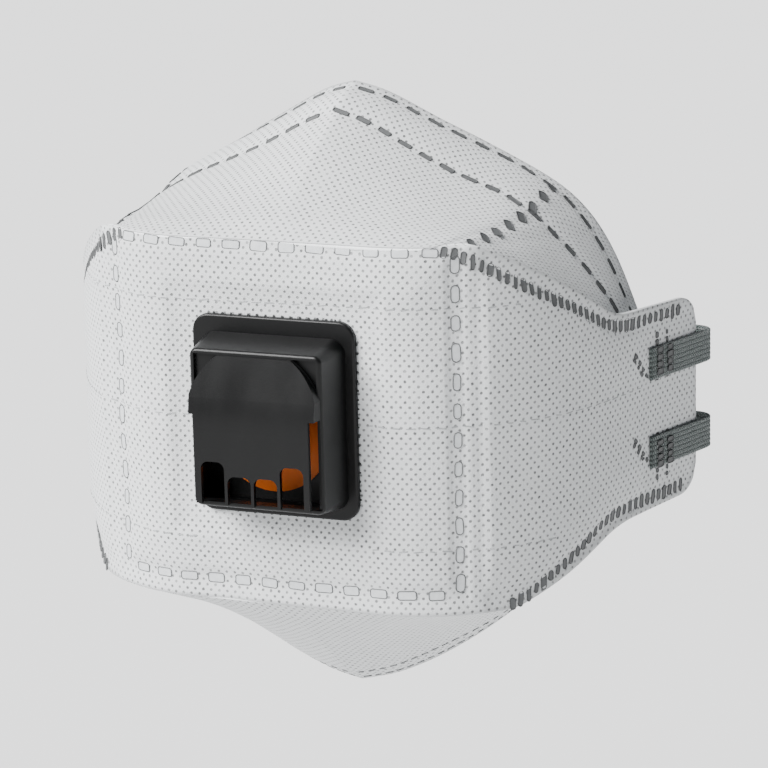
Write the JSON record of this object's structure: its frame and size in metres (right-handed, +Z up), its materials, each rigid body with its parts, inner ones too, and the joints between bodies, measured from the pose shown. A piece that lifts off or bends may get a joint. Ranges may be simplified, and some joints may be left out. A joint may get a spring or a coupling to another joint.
{
  "type": "disposable dust mask",
  "caption": "Flat-fold disposable dust mask opened to its cup shape, with an exhalation valve, a nose clip and elastic head straps.",
  "frame": {"origin": "centre of the face opening, halfway up the tabs, where the mask meets the wearer's face", "axes": "-Y points out of the front of the mask, +Y towards the wearer, +Z up, X across the mask"},
  "size_m": [0.142, 0.0867, 0.1318],
  "materials": {
    "cover_web": "matt spunbond with embossed dots",
    "support_web": "matt needled web",
    "filter_web": "matt meltblown web",
    "lining_web": "soft matt spunbond",
    "clip_metal": "satin",
    "foam": "open-cell foam",
    "valve_plastic": "fine satin moulding",
    "membrane_silicone": "smooth silicone",
    "strap_braid": "ribbed elastic braid"
  },
  "bodies": {
    "mask": {"centre_outer_cover": "cover_web", "centre_support_layer": "support_web", "centre_filter_layer": "filter_web", "centre_inner_lining": "lining_web", "top_outer_cover": "cover_web", "top_support_layer": "support_web", "top_filter_layer": "filter_web", "top_inner_lining": "lining_web", "bottom_outer_cover": "cover_web", "bottom_support_layer": "support_web", "bottom_filter_layer": "filter_web", "bottom_inner_lining": "lining_web", "nose_clip": "clip_metal", "nose_foam": "foam", "valve_seat": "valve_plastic", "valve_backing_ring": "valve_plastic", "membrane_clamp_bar": "valve_plastic", "valve_cover": "valve_plastic", "upper_head_strap": "strap_braid", "lower_head_strap": "strap_braid"},
    "membrane": {"valve_membrane": "membrane_silicone"}
  },
  "joints": [
    {"name": "membrane_flap", "type": "hinge", "parent": "mask", "child": "membrane", "pos_m": [0, -0.0594, 0.0175], "axis": [-1, 0, 0], "range_deg": [0, 12], "stiffness_Nm_per_rad": 0.0004}
  ]
}
